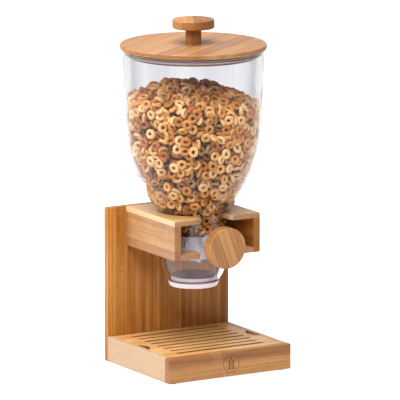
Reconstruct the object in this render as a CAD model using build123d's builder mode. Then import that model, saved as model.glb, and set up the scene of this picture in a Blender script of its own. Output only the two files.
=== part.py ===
"""Cereal dispenser: a clear hopper with a hand-turned paddle valve, held by a bamboo stand.

Frame: millimetres, +Z up, +X to the right, -Y to the front where the dial is.
The origin is on the surface the dispenser stands on, straight below the hopper's axis.
"""

import os
from math import sqrt

from build123d import *

os.makedirs("parts", exist_ok=True)

# ---------------------------------------------------------------- driving dimensions
# Stand
BASE_WIDTH = 175.0
BASE_FRONT_Y = -89.0
BASE_TOP_Z = 33.0
BOARD_FRONT_Y = 61.0
BOARD_THICKNESS = 9.0
STAND_TOP_Z = 196.0
PAD_THICKNESS = 1.5
PAD_RADIUS = 6.0
PAD_INSET = 11.0
FRONT_RAIL_THICKNESS = 9.5
SIDE_RAIL_THICKNESS = 6.5
REAR_RAIL_THICKNESS = 9.0
FLOOR_THICKNESS = 4.0
FLOOR_RECESS = 1.5
LEDGE_WIDTH = 6.0
LEDGE_HEIGHT = 6.0
LEDGE_GAP = 40.0
EDGE_SOFTENING = 1.0

# Slatted grate
GRATE_THICKNESS = 8.3
GRATE_GAP = 0.7
SLOT_COUNT = 8
SLOT_LENGTH = 125.0
SLOT_WIDTH = 6.0
SLOT_PITCH = 15.5
FIRST_SLOT_Y = -64.0
SLOT_EDGE_SOFTENING = 0.6
NOTCH_RADIUS = 20.0
NOTCH_DEPTH = 8.5
NOTCH_Y = -11.5

# Holder, an open-fronted box that carries the canister
HOLDER_WIDTH = 122.0
HOLDER_FRONT_Y = -58.0
HOLDER_BOTTOM_Z = 146.5
HOLDER_SIDE_THICKNESS = 9.0
HOLDER_PANEL_THICKNESS = 6.3
KEYHOLE_RADIUS = 42.0
MOUTH_WIDTH = 40.0
HORN_TIP_RADIUS = 9.0
HORN_ROOT_RADIUS = 4.0
PROFILE_TOLERANCE = 0.01

# Canister
WALL = 2.4
HOPPER_RIM_RADIUS = 87.6
HOPPER_RIM_Z = 397.9
SHOULDER_RADIUS = 45.2
SEAT_GAP = 0.1
NECK_RADIUS = 40.8
NECK_BOTTOM_Z = 184.0
SPIGOT_LENGTH = 6.0
FIT_GAP = 0.1
SPOUT_START_Z = 136.0
SPOUT_RADIUS = 31.4
SPOUT_Z = 108.8
SHOULDER_LIP = 1.6
NECK_MOUTH_STEP = 0.5
RIM_ROUNDING = 0.6
RIB_TOP_Z = 214.0
RIB_WIDTH = 1.8
RIB_DEPTH = 4.0
RIB_FOOT = (11.6, -44.1)
RIB_HEAD = (15.3, -54.1)

# Valve: everything here lies about the dial's axis, which runs along Y
AXIS_Z = 161.0
SHAFT_RADIUS = 4.0
SHAFT_CLEARANCE = 0.05
SHAFT_FRONT_Y = -76.5
SHAFT_REAR_Y = 38.6
HUB_RADIUS = 8.5
VANE_COUNT = 8
VANE_RADIUS = 28.0
VANE_THICKNESS = 1.6
VANE_HALF_LENGTH = 25.0
SLEEVE_THICKNESS = 1.6
FIRST_VANE_ANGLE = 12.7
LINER_TOP_Z = 168.5
LINER_WAIST_Z = 154.0
LINER_BOTTOM_Z = 138.0
LINER_BORE_RADIUS = 28.6
LINER_WALL = 1.8
LINER_HALF_DEPTH = 28.0
LINER_CORNER_RADIUS = 8.0
BOSS_RADIUS = 10.0
BOSS_FRONT_Y = -44.0
BOSS_DEPTH = 34.8
BUSH_RADIUS = 6.5
BUSH_FLANGE_RADIUS = 8.5
BUSH_FLANGE_THICKNESS = 1.5
REAR_BUSH_PROUD = 0.5
REAR_BUSH_ROOM = 0.1
LINER_SHAFT_GAP = 1.0

# Dial
DIAL_RADIUS = 25.5
DIAL_FRONT_Y = -83.0
DIAL_THICKNESS = 14.7
COLLAR_RADIUS = 7.0
COLLAR_REAR_Y = -46.0
INSERT_RADIUS = 6.0
INSERT_LENGTH = 9.0
COLLAR_ROUNDING = 0.6

# Outlet cap
CAP_PLUG_RADIUS = 28.2
CAP_TOP_Z = 114.6
CAP_FLANGE_Z = 108.5
CAP_FLANGE_RADIUS = 32.4
CAP_BOTTOM_Z = 101.6
CAP_BOTTOM_RADIUS = 29.5
CAP_RECESS_RADIUS = 25.6
CAP_TOP_THICKNESS = 1.6
CAP_CHAMFER = 1.0

# Lid
LID_RADIUS = 90.5
LID_BOTTOM_Z = 398.0
LID_THICKNESS = 6.0
PLUG_RADIUS = 79.5
LID_ROUNDING = 1.5
PLUG_DEPTH = 9.5
PLUG_CHAMFER = 0.8
SEAL_DEPTH = 7.0
SEAL_RADIUS = 82.6
SEAL_RIB_RADIUS = 84.4
SEAL_RIB_COUNT = 2
SEAL_RIB_PITCH = 2.8
SEAL_RIB_FOOT = 1.4
SEAL_RIB_TIP = 0.5
KNOB_RADIUS = 26.0
KNOB_THICKNESS = 11.0
STEM_RADIUS = 9.8
STEM_HEIGHT = 19.5

# Wood screws
SCREW_HEAD_RADIUS = 3.6
SCREW_SHANK_RADIUS = 1.8
SCREW_HEAD_HEIGHT = 2.4
SCREW_SINK = 0.4
PILOT_GAP = 0.05
BASE_SCREW_X = 55.0
BASE_SCREW_Z = 14.0
BASE_SCREW_STOP = 1.5
HOLDER_SCREW_INSET = 10.0
HOLDER_SCREW_LENGTH = 32.0
LID_SCREW_RADIUS = 2.0
LID_SCREW_HEAD_RADIUS = 4.0
LID_SCREW_HEAD_HEIGHT = 2.6
LID_SCREW_GRIP = 5.0

# How far a cutting tool runs past the face it cuts through
OVERRUN = 1.0

# ---------------------------------------------------------------- places that follow
HALF_WIDTH = BASE_WIDTH / 2
BOARD_BACK_Y = BOARD_FRONT_Y + BOARD_THICKNESS
INNER_HALF_WIDTH = HALF_WIDTH - SIDE_RAIL_THICKNESS
RAIL_BACK_Y = BASE_FRONT_Y + FRONT_RAIL_THICKNESS
REAR_RAIL_Y = BOARD_FRONT_Y - REAR_RAIL_THICKNESS
GRATE_BOTTOM_Z = BASE_TOP_Z - GRATE_THICKNESS
LEDGE_TOP_Z = GRATE_BOTTOM_Z - SEAT_GAP
FLOOR_BOTTOM_Z = PAD_THICKNESS + FLOOR_RECESS
HOLDER_HALF_WIDTH = HOLDER_WIDTH / 2
HOLDER_INNER_HALF = HOLDER_HALF_WIDTH - HOLDER_SIDE_THICKNESS
HOLDER_DEPTH = BOARD_FRONT_Y - HOLDER_FRONT_Y
TOP_PANEL_Z = STAND_TOP_Z - HOLDER_PANEL_THICKNESS
SHOULDER_Z = STAND_TOP_Z + SEAT_GAP
NECK_BORE = NECK_RADIUS - WALL
REAR_BUSH_Y = NECK_BORE + REAR_BUSH_PROUD
DIAL_BACK_Y = DIAL_FRONT_Y + DIAL_THICKNESS
LID_TOP_Z = LID_BOTTOM_Z + LID_THICKNESS
STEM_TOP_Z = LID_TOP_Z + STEM_HEIGHT
KNOB_TOP_Z = STEM_TOP_Z + KNOB_THICKNESS
SLEEVE_RADIUS = HUB_RADIUS + SLEEVE_THICKNESS
SCREW_HEAD_Y = BOARD_BACK_Y - SCREW_SINK
BASE_SCREW_TIP_Y = REAR_RAIL_Y + BASE_SCREW_STOP
BASE_SCREW_PLACES = [(x, BASE_SCREW_Z) for x in (-BASE_SCREW_X, 0.0, BASE_SCREW_X)]
HOLDER_SCREW_X = HOLDER_HALF_WIDTH - HOLDER_SIDE_THICKNESS / 2
HOLDER_SCREW_ZS = (HOLDER_BOTTOM_Z + HOLDER_SCREW_INSET, TOP_PANEL_Z - HOLDER_SCREW_INSET)
HOLDER_SCREW_PLACES = [(x, z) for x in (-HOLDER_SCREW_X, HOLDER_SCREW_X) for z in HOLDER_SCREW_ZS]
HOLDER_SCREW_TIP_Y = SCREW_HEAD_Y - HOLDER_SCREW_LENGTH
LID_SCREW_TIP_Z = STEM_TOP_Z + LID_SCREW_GRIP
PLUG_BOTTOM_Z = LID_BOTTOM_Z - PLUG_DEPTH
LID_SCREW_HEAD_Z = PLUG_BOTTOM_Z + SCREW_SINK


def finish(part, name):
    """Label a finished piece and write its STEP file."""
    part.label = name
    export_step(part, f"parts/{name}.step")


def block(x0, x1, y0, y1, z0, z1):
    """Add a box to the open part by its two corners."""
    with Locations(((x0 + x1) / 2, (y0 + y1) / 2, (z0 + z1) / 2)):
        return Box(x1 - x0, y1 - y0, z1 - z0)


def rod_y(radius, y0, y1, x=0.0, z=AXIS_Z, mode=Mode.ADD):
    """Add or cut a round bar that runs along Y."""
    with Locations((x, (y0 + y1) / 2, z)):
        return Cylinder(radius, y1 - y0, rotation=(90, 0, 0), mode=mode)


def rod_z(radius, z0, z1, x=0.0, y=0.0, mode=Mode.ADD):
    """Add or cut a round bar that stands along Z."""
    with Locations((x, y, (z0 + z1) / 2)):
        return Cylinder(radius, z1 - z0, mode=mode)


def screw_y(x, z, head_y, tip_y):
    """Add one countersunk wood screw whose head faces the back, +Y."""
    rod_y(SCREW_SHANK_RADIUS, tip_y, head_y - SCREW_HEAD_HEIGHT, x, z)
    with Locations((x, head_y - SCREW_HEAD_HEIGHT / 2, z)):
        Cone(SCREW_HEAD_RADIUS, SCREW_SHANK_RADIUS, SCREW_HEAD_HEIGHT, rotation=(90, 0, 0))


def screw_hole_y(x, z, head_y, tip_y):
    """Cut the hole that one such screw sits in, with its countersink."""
    rod_y(SCREW_SHANK_RADIUS + PILOT_GAP, tip_y, head_y + OVERRUN, x, z, Mode.SUBTRACT)
    with Locations((x, head_y - SCREW_HEAD_HEIGHT / 2, z)):
        Cone(SCREW_HEAD_RADIUS + PILOT_GAP, SCREW_SHANK_RADIUS + PILOT_GAP, SCREW_HEAD_HEIGHT,
             rotation=(90, 0, 0), mode=Mode.SUBTRACT)
    rod_y(SCREW_HEAD_RADIUS + PILOT_GAP, head_y, head_y + OVERRUN, x, z, Mode.SUBTRACT)


# ---------------------------------------------------------------- base
with BuildPart() as base_front_rail:
    block(-HALF_WIDTH, HALF_WIDTH, BASE_FRONT_Y, RAIL_BACK_Y, PAD_THICKNESS, BASE_TOP_Z)
    fillet(base_front_rail.edges().filter_by(Axis.X).group_by(Axis.Y)[0], EDGE_SOFTENING)
    fillet(base_front_rail.edges().filter_by(Axis.Z).group_by(Axis.Y)[0], EDGE_SOFTENING)
finish(base_front_rail.part, "base_front_rail")

for side, name in ((-1, "base_left_rail"), (1, "base_right_rail")):
    outer_x = side * HALF_WIDTH
    inner_x = side * INNER_HALF_WIDTH
    with BuildPart() as side_rail:
        block(min(outer_x, inner_x), max(outer_x, inner_x), RAIL_BACK_Y, BOARD_FRONT_Y,
              PAD_THICKNESS, BASE_TOP_Z)
        outer_edges = side_rail.edges().filter_by(Axis.Y).group_by(Axis.X)[0 if side < 0 else -1]
        fillet(outer_edges, EDGE_SOFTENING)
    finish(side_rail.part, name)

with BuildPart() as base_rear_rail:
    block(-INNER_HALF_WIDTH, INNER_HALF_WIDTH, REAR_RAIL_Y, BOARD_FRONT_Y, PAD_THICKNESS, LEDGE_TOP_Z)
    for x, z in BASE_SCREW_PLACES:
        rod_y(SCREW_SHANK_RADIUS + PILOT_GAP, BASE_SCREW_TIP_Y - PILOT_GAP, BOARD_FRONT_Y, x, z,
              Mode.SUBTRACT)
finish(base_rear_rail.part, "base_rear_rail")

with BuildPart() as base_floor:
    block(-INNER_HALF_WIDTH, INNER_HALF_WIDTH, RAIL_BACK_Y, REAR_RAIL_Y,
          FLOOR_BOTTOM_Z, FLOOR_BOTTOM_Z + FLOOR_THICKNESS)
finish(base_floor.part, "base_floor")

with BuildPart() as grate_ledges:
    # The ledges stop short of the finger notches, so that a finger reaches under the grate.
    ledge_z = LEDGE_TOP_Z - LEDGE_HEIGHT
    ledge_x = INNER_HALF_WIDTH - LEDGE_WIDTH
    for x0, x1 in ((-INNER_HALF_WIDTH, -ledge_x), (ledge_x, INNER_HALF_WIDTH)):
        block(x0, x1, RAIL_BACK_Y, NOTCH_Y - LEDGE_GAP / 2, ledge_z, LEDGE_TOP_Z)
        block(x0, x1, NOTCH_Y + LEDGE_GAP / 2, REAR_RAIL_Y, ledge_z, LEDGE_TOP_Z)
finish(grate_ledges.part, "grate_ledges")

with BuildPart() as foot_pads:
    pad_x = HALF_WIDTH - PAD_INSET
    for pad_y in (BASE_FRONT_Y + PAD_INSET, BOARD_FRONT_Y - PAD_INSET):
        for x in (-pad_x, pad_x):
            rod_z(PAD_RADIUS, 0.0, PAD_THICKNESS, x, pad_y)
finish(foot_pads.part, "foot_pads")

# ---------------------------------------------------------------- grate
with BuildPart() as slatted_grate:
    grate_half = INNER_HALF_WIDTH - GRATE_GAP
    grate_front = RAIL_BACK_Y + GRATE_GAP
    grate_back = BOARD_FRONT_Y - GRATE_GAP
    block(-grate_half, grate_half, grate_front, grate_back, GRATE_BOTTOM_Z, BASE_TOP_Z)
    with BuildSketch(Plane.XY.offset(GRATE_BOTTOM_Z)):
        for row in range(SLOT_COUNT):
            with Locations((0, FIRST_SLOT_Y + row * SLOT_PITCH)):
                SlotOverall(SLOT_LENGTH, SLOT_WIDTH)
        for side in (-1, 1):
            with Locations((side * (grate_half + NOTCH_RADIUS - NOTCH_DEPTH), NOTCH_Y)):
                Circle(NOTCH_RADIUS)
    extrude(amount=GRATE_THICKNESS, mode=Mode.SUBTRACT)
    top_edges = slatted_grate.faces().sort_by(Axis.Z)[-1].edges()
    fillet(top_edges, SLOT_EDGE_SOFTENING)
finish(slatted_grate.part, "slatted_grate")

# ---------------------------------------------------------------- back board and holder
with BuildPart() as back_board:
    block(-HALF_WIDTH, HALF_WIDTH, BOARD_FRONT_Y, BOARD_BACK_Y, PAD_THICKNESS, STAND_TOP_Z)
    fillet(back_board.edges().filter_by(Axis.Z), EDGE_SOFTENING)
    fillet(back_board.edges().group_by(Axis.Z)[-1], EDGE_SOFTENING)
    for x, z in HOLDER_SCREW_PLACES + BASE_SCREW_PLACES:
        screw_hole_y(x, z, SCREW_HEAD_Y, BOARD_FRONT_Y - OVERRUN)
finish(back_board.part, "back_board")


def on_mouth_side(corner):
    """Tell whether a corner of the panel's outline is on a side of the mouth."""
    return abs(abs(corner.X) - MOUTH_WIDTH / 2) < PROFILE_TOLERANCE


def keyhole_sketch(width):
    """Draw a panel outline with a round hole on the hopper's axis and a mouth to the front."""
    hole_root_y = -sqrt(KEYHOLE_RADIUS**2 - (MOUTH_WIDTH / 2) ** 2)
    with BuildSketch(mode=Mode.PRIVATE) as outline:
        with Locations((0, HOLDER_FRONT_Y + HOLDER_DEPTH / 2)):
            Rectangle(width, HOLDER_DEPTH)
        Circle(KEYHOLE_RADIUS, mode=Mode.SUBTRACT)
        mouth_depth = hole_root_y - HOLDER_FRONT_Y + HORN_ROOT_RADIUS
        with Locations((0, HOLDER_FRONT_Y + mouth_depth / 2)):
            Rectangle(MOUTH_WIDTH, mouth_depth, mode=Mode.SUBTRACT)
        mouth_corners = outline.vertices().filter_by(on_mouth_side)
        fillet(mouth_corners.group_by(Axis.Y)[0], HORN_TIP_RADIUS)
        hole_corners = outline.vertices().filter_by(on_mouth_side).filter_by(
            lambda corner: abs(corner.Y - hole_root_y) < PROFILE_TOLERANCE)
        fillet(hole_corners, HORN_ROOT_RADIUS)
    return outline.sketch


with BuildPart() as holder_top_panel:
    with BuildSketch(Plane.XY.offset(TOP_PANEL_Z)):
        add(keyhole_sketch(HOLDER_WIDTH))
    extrude(amount=HOLDER_PANEL_THICKNESS)
    outer_sides = holder_top_panel.edges().filter_by(Axis.Y).group_by(Axis.Z)[-1]
    fillet(outer_sides, EDGE_SOFTENING)
finish(holder_top_panel.part, "holder_top_panel")

with BuildPart() as holder_bottom_panel:
    with BuildSketch(Plane.XY.offset(HOLDER_BOTTOM_Z)):
        add(keyhole_sketch(2 * HOLDER_INNER_HALF))
    extrude(amount=HOLDER_PANEL_THICKNESS)
finish(holder_bottom_panel.part, "holder_bottom_panel")

for side, name in ((-1, "holder_left_panel"), (1, "holder_right_panel")):
    outer_x = side * HOLDER_HALF_WIDTH
    inner_x = side * HOLDER_INNER_HALF
    with BuildPart() as holder_side:
        block(min(outer_x, inner_x), max(outer_x, inner_x), HOLDER_FRONT_Y, BOARD_FRONT_Y,
              HOLDER_BOTTOM_Z, TOP_PANEL_Z)
        lower_edge = holder_side.edges().filter_by(Axis.Y).group_by(Axis.Z)[0].sort_by(Axis.X)
        fillet(lower_edge[0 if side < 0 else -1], EDGE_SOFTENING)
        for x, z in HOLDER_SCREW_PLACES:
            if x * side > 0:
                rod_y(SCREW_SHANK_RADIUS + PILOT_GAP, HOLDER_SCREW_TIP_Y - PILOT_GAP, BOARD_FRONT_Y,
                      x, z, Mode.SUBTRACT)
    finish(holder_side.part, name)

with BuildPart() as holder_screws:
    for x, z in HOLDER_SCREW_PLACES:
        screw_y(x, z, SCREW_HEAD_Y, HOLDER_SCREW_TIP_Y)
finish(holder_screws.part, "holder_screws")

with BuildPart() as base_screws:
    for x, z in BASE_SCREW_PLACES:
        screw_y(x, z, SCREW_HEAD_Y, BASE_SCREW_TIP_Y)
finish(base_screws.part, "base_screws")

# ---------------------------------------------------------------- hopper
# The outer wall tapers a little, then curves in through two tangent arcs to the shoulder.
TAPER_END = (84.2, 300.0)
CURVE_JOIN = (76.9, 258.0)


def hopper_wall(inset, bowl_end):
    """Draw the hopper's side from its rim down to bowl_end, moved in by inset."""
    rim = (HOPPER_RIM_RADIUS - inset, HOPPER_RIM_Z)
    taper = Line(rim, (TAPER_END[0] - inset, TAPER_END[1]))
    bend = TangentArc(taper @ 1, (CURVE_JOIN[0] - inset, CURVE_JOIN[1]), tangent=taper % 1)
    bowl = TangentArc(bend @ 1, bowl_end, tangent=bend % 1)
    return taper, bowl


with BuildPart() as hopper:
    with BuildSketch(Plane.XZ):
        with BuildLine():
            outer_taper, outer_bowl = hopper_wall(0.0, (SHOULDER_RADIUS, SHOULDER_Z))
            inner_taper, inner_bowl = hopper_wall(WALL, (SHOULDER_RADIUS - SHOULDER_LIP, SHOULDER_Z + WALL))
            Line(outer_taper @ 0, inner_taper @ 0)
            Polyline(inner_bowl @ 1, (NECK_BORE, SHOULDER_Z + NECK_MOUTH_STEP), (NECK_BORE, NECK_BOTTOM_Z),
                     (NECK_RADIUS, NECK_BOTTOM_Z), (NECK_RADIUS, SHOULDER_Z), outer_bowl @ 1)
        make_face()
    revolve(axis=Axis.Z)
    # Two moulded ribs run down the front of the bowl towards the valve.
    for side in (-1, 1):
        for height, (rib_x, rib_y) in ((SHOULDER_Z, RIB_FOOT), (RIB_TOP_Z, RIB_HEAD)):
            with BuildSketch(Plane.XY.offset(height)):
                with Locations((side * rib_x, rib_y)):
                    Rectangle(RIB_WIDTH, RIB_DEPTH)
        loft()
    fillet(hopper.edges().group_by(Axis.Z)[-1], RIM_ROUNDING)
finish(hopper.part, "hopper")

# ---------------------------------------------------------------- valve housing and spout
with BuildPart() as valve_housing:
    with BuildSketch(Plane.XZ):
        with BuildLine():
            side_line = Line((NECK_RADIUS, NECK_BOTTOM_Z), (NECK_RADIUS, SPOUT_START_Z))
            spout = TangentArc(side_line @ 1, (SPOUT_RADIUS, SPOUT_Z), tangent=side_line % 1)
            Line(spout @ 1, (SPOUT_RADIUS - WALL, SPOUT_Z))
            inner_spout = TangentArc((NECK_BORE, SPOUT_START_Z), (SPOUT_RADIUS - WALL, SPOUT_Z),
                                     tangent=side_line % 1)
            spigot_outer = NECK_BORE - FIT_GAP
            spigot_inner = spigot_outer - WALL / 2
            spigot_top = NECK_BOTTOM_Z + SPIGOT_LENGTH
            spigot_root = NECK_BOTTOM_Z - WALL
            Polyline((NECK_BORE, SPOUT_START_Z), (NECK_BORE, spigot_root - WALL / 2),
                     (spigot_inner, spigot_root), (spigot_inner, spigot_top),
                     (spigot_outer, spigot_top), (spigot_outer, NECK_BOTTOM_Z),
                     (NECK_RADIUS, NECK_BOTTOM_Z))
        make_face()
    revolve(axis=Axis.Z)
    # Bosses front and back carry the shaft's bushes.
    rod_y(BOSS_RADIUS, BOSS_FRONT_Y, -BOSS_DEPTH)
    rod_y(BOSS_RADIUS, BOSS_DEPTH, NECK_RADIUS - WALL / 2)
    rod_y(BUSH_RADIUS, BOSS_FRONT_Y - OVERRUN, -BOSS_DEPTH + OVERRUN, mode=Mode.SUBTRACT)
    rod_y(BUSH_RADIUS, BOSS_DEPTH - OVERRUN, REAR_BUSH_Y + REAR_BUSH_ROOM, mode=Mode.SUBTRACT)
finish(valve_housing.part, "valve_housing")


# ---------------------------------------------------------------- funnel liner round the wheel
def liner_sections(inset):
    """Return the liner's round top and its boxed waist, just below the shaft."""
    with BuildSketch(Plane.XY.offset(LINER_TOP_Z)) as round_top:
        Circle(NECK_BORE - FIT_GAP - inset)
    with BuildSketch(Plane.XY.offset(LINER_WAIST_Z)) as waist:
        RectangleRounded(2 * (LINER_BORE_RADIUS + LINER_WALL - inset), 2 * (LINER_HALF_DEPTH - inset),
                         LINER_CORNER_RADIUS - inset)
    return [waist.sketch.face(), round_top.sketch.face()]


with BuildPart() as funnel_liner:
    # Below the waist the cheeks follow the wheel, so they are cut from a drum along Y.
    rod_y(LINER_BORE_RADIUS + LINER_WALL, -LINER_HALF_DEPTH, LINER_HALF_DEPTH)
    with BuildSketch(Plane.XY.offset(LINER_BOTTOM_Z)):
        RectangleRounded(2 * (LINER_BORE_RADIUS + LINER_WALL), 2 * LINER_HALF_DEPTH, LINER_CORNER_RADIUS)
    extrude(amount=LINER_WAIST_Z - LINER_BOTTOM_Z, mode=Mode.INTERSECT)
    loft(sections=liner_sections(0.0))
    rod_y(LINER_BORE_RADIUS, -LINER_HALF_DEPTH + LINER_WALL, LINER_HALF_DEPTH - LINER_WALL,
          mode=Mode.SUBTRACT)
    loft(sections=liner_sections(LINER_WALL), mode=Mode.SUBTRACT)
    rod_y(SHAFT_RADIUS + LINER_SHAFT_GAP, -NECK_RADIUS, NECK_RADIUS, mode=Mode.SUBTRACT)
    # The housing's bosses come through the sloping funnel walls.
    rod_y(BOSS_RADIUS + FIT_GAP, -NECK_RADIUS, -BOSS_DEPTH + FIT_GAP, mode=Mode.SUBTRACT)
    rod_y(BOSS_RADIUS + FIT_GAP, BOSS_DEPTH - FIT_GAP, NECK_RADIUS, mode=Mode.SUBTRACT)
finish(funnel_liner.part, "funnel_liner")

# ---------------------------------------------------------------- bushes
with BuildPart() as front_bush:
    rod_y(BUSH_RADIUS, BOSS_FRONT_Y, -BOSS_DEPTH)
    rod_y(BUSH_FLANGE_RADIUS, BOSS_FRONT_Y - BUSH_FLANGE_THICKNESS, BOSS_FRONT_Y)
    rod_y(SHAFT_RADIUS + SHAFT_CLEARANCE, BOSS_FRONT_Y - BUSH_FLANGE_THICKNESS - OVERRUN,
          -BOSS_DEPTH + OVERRUN, mode=Mode.SUBTRACT)
finish(front_bush.part, "front_bush")

with BuildPart() as rear_bush:
    rod_y(BUSH_RADIUS, BOSS_DEPTH, REAR_BUSH_Y)
    rod_y(SHAFT_RADIUS + SHAFT_CLEARANCE, BOSS_DEPTH - OVERRUN, REAR_BUSH_Y + OVERRUN, mode=Mode.SUBTRACT)
finish(rear_bush.part, "rear_bush")

# ---------------------------------------------------------------- shaft and paddle wheel
with BuildPart() as drive_shaft:
    rod_y(SHAFT_RADIUS, SHAFT_FRONT_Y, SHAFT_REAR_Y)
finish(drive_shaft.part, "drive_shaft")

with BuildPart() as paddle_hub:
    rod_y(HUB_RADIUS, -VANE_HALF_LENGTH, VANE_HALF_LENGTH)
    rod_y(SHAFT_RADIUS, -VANE_HALF_LENGTH - OVERRUN, VANE_HALF_LENGTH + OVERRUN, mode=Mode.SUBTRACT)
finish(paddle_hub.part, "paddle_hub")

# Each soft vane has a rounded bead at its tip and grows from a sleeve round the hub.
with BuildPart() as paddle_vanes:
    with BuildSketch(Plane.XZ.offset(-VANE_HALF_LENGTH)):
        with Locations((0, AXIS_Z)):
            Circle(SLEEVE_RADIUS)
            for vane in range(VANE_COUNT):
                turn = FIRST_VANE_ANGLE + vane * 360 / VANE_COUNT
                with Locations(Location((0, 0, 0), (0, 0, 180 - turn))):
                    reach = VANE_RADIUS - VANE_THICKNESS / 2
                    with Locations((reach / 2, 0)):
                        Rectangle(reach, VANE_THICKNESS)
                    with Locations((reach, 0)):
                        Circle(VANE_THICKNESS / 2)
            Circle(HUB_RADIUS, mode=Mode.SUBTRACT)
    extrude(amount=2 * VANE_HALF_LENGTH)
finish(paddle_vanes.part, "paddle_vanes")

# ---------------------------------------------------------------- dial
with BuildPart() as dial_knob:
    rod_y(DIAL_RADIUS, DIAL_FRONT_Y, DIAL_BACK_Y)
    rims = dial_knob.edges().filter_by(GeomType.CIRCLE)
    fillet(rims, EDGE_SOFTENING)
    rod_y(INSERT_RADIUS, DIAL_BACK_Y - INSERT_LENGTH, DIAL_BACK_Y + OVERRUN, mode=Mode.SUBTRACT)
finish(dial_knob.part, "dial_knob")

with BuildPart() as dial_insert:
    rod_y(INSERT_RADIUS, DIAL_BACK_Y - INSERT_LENGTH, DIAL_BACK_Y)
    rod_y(SHAFT_RADIUS, SHAFT_FRONT_Y, DIAL_BACK_Y + OVERRUN, mode=Mode.SUBTRACT)
finish(dial_insert.part, "dial_insert")

with BuildPart() as dial_collar:
    rod_y(COLLAR_RADIUS, DIAL_BACK_Y, COLLAR_REAR_Y)
    rod_y(SHAFT_RADIUS, DIAL_BACK_Y - OVERRUN, COLLAR_REAR_Y + OVERRUN, mode=Mode.SUBTRACT)
    fillet(dial_collar.edges().group_by(Axis.Y)[-1].sort_by(SortBy.RADIUS)[-1], COLLAR_ROUNDING)
finish(dial_collar.part, "dial_collar")

# ---------------------------------------------------------------- outlet cap
with BuildPart() as outlet_cap:
    with BuildSketch(Plane.XZ):
        with BuildLine():
            Polyline((0, CAP_TOP_Z), (CAP_PLUG_RADIUS - CAP_CHAMFER, CAP_TOP_Z),
                     (CAP_PLUG_RADIUS, CAP_TOP_Z - CAP_CHAMFER), (CAP_PLUG_RADIUS, CAP_FLANGE_Z),
                     (CAP_FLANGE_RADIUS, CAP_FLANGE_Z),
                     (CAP_BOTTOM_RADIUS, CAP_BOTTOM_Z), (CAP_RECESS_RADIUS, CAP_BOTTOM_Z),
                     (CAP_RECESS_RADIUS, CAP_TOP_Z - CAP_TOP_THICKNESS), (0, CAP_TOP_Z - CAP_TOP_THICKNESS),
                     close=True)
        make_face()
    revolve(axis=Axis.Z)
finish(outlet_cap.part, "outlet_cap")

# ---------------------------------------------------------------- lid
def lid_screw_hole():
    """Cut the clearance for the screw that holds the knob on."""
    rod_z(LID_SCREW_RADIUS + PILOT_GAP, PLUG_BOTTOM_Z - OVERRUN, LID_SCREW_TIP_Z + PILOT_GAP,
          mode=Mode.SUBTRACT)


with BuildPart() as lid_disc:
    rod_z(LID_RADIUS, LID_BOTTOM_Z, LID_TOP_Z)
    fillet(lid_disc.edges().filter_by(GeomType.CIRCLE), LID_ROUNDING)
    lid_screw_hole()
finish(lid_disc.part, "lid_disc")

with BuildPart() as lid_plug:
    rod_z(PLUG_RADIUS, PLUG_BOTTOM_Z, LID_BOTTOM_Z)
    chamfer(lid_plug.edges().group_by(Axis.Z)[0], PLUG_CHAMFER)
    lid_screw_hole()
    with Locations((0, 0, LID_SCREW_HEAD_Z + LID_SCREW_HEAD_HEIGHT / 2)):
        Cone(LID_SCREW_HEAD_RADIUS + PILOT_GAP, LID_SCREW_RADIUS + PILOT_GAP, LID_SCREW_HEAD_HEIGHT,
             mode=Mode.SUBTRACT)
    rod_z(LID_SCREW_HEAD_RADIUS + PILOT_GAP, PLUG_BOTTOM_Z - OVERRUN, LID_SCREW_HEAD_Z, mode=Mode.SUBTRACT)
finish(lid_plug.part, "lid_plug")

with BuildPart() as lid_seal:
    with BuildSketch(Plane.XZ):
        with Locations(((PLUG_RADIUS + SEAL_RADIUS) / 2, LID_BOTTOM_Z - SEAL_DEPTH / 2)):
            Rectangle(SEAL_RADIUS - PLUG_RADIUS, SEAL_DEPTH)
        for rib in range(SEAL_RIB_COUNT):
            rib_z = LID_BOTTOM_Z - SEAL_DEPTH + SEAL_RIB_FOOT / 2 + rib * SEAL_RIB_PITCH
            rib_top_z = rib_z + SEAL_RIB_FOOT
            with BuildLine():
                Polyline((SEAL_RADIUS, rib_z), (SEAL_RIB_RADIUS, rib_top_z - SEAL_RIB_TIP),
                         (SEAL_RIB_RADIUS, rib_top_z), (SEAL_RADIUS, rib_top_z), close=True)
            make_face()
    revolve(axis=Axis.Z)
finish(lid_seal.part, "lid_seal")

with BuildPart() as lid_knob_stem:
    rod_z(STEM_RADIUS, LID_TOP_Z, STEM_TOP_Z)
    lid_screw_hole()
finish(lid_knob_stem.part, "lid_knob_stem")

with BuildPart() as lid_knob_head:
    rod_z(KNOB_RADIUS, STEM_TOP_Z, KNOB_TOP_Z)
    fillet(lid_knob_head.edges().filter_by(GeomType.CIRCLE), LID_ROUNDING)
    lid_screw_hole()
finish(lid_knob_head.part, "lid_knob_head")

with BuildPart() as lid_screw:
    rod_z(LID_SCREW_RADIUS, LID_SCREW_HEAD_Z + LID_SCREW_HEAD_HEIGHT, LID_SCREW_TIP_Z)
    with Locations((0, 0, LID_SCREW_HEAD_Z + LID_SCREW_HEAD_HEIGHT / 2)):
        Cone(LID_SCREW_HEAD_RADIUS, LID_SCREW_RADIUS, LID_SCREW_HEAD_HEIGHT)
finish(lid_screw.part, "lid_screw")
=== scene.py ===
"""Looks for the bamboo cereal dispenser, in metres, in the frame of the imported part."""

import math

import bmesh
import bpy
import numpy as np
from mathutils import Euler, Matrix, Vector
from mathutils.bvhtree import BVHTree


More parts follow.
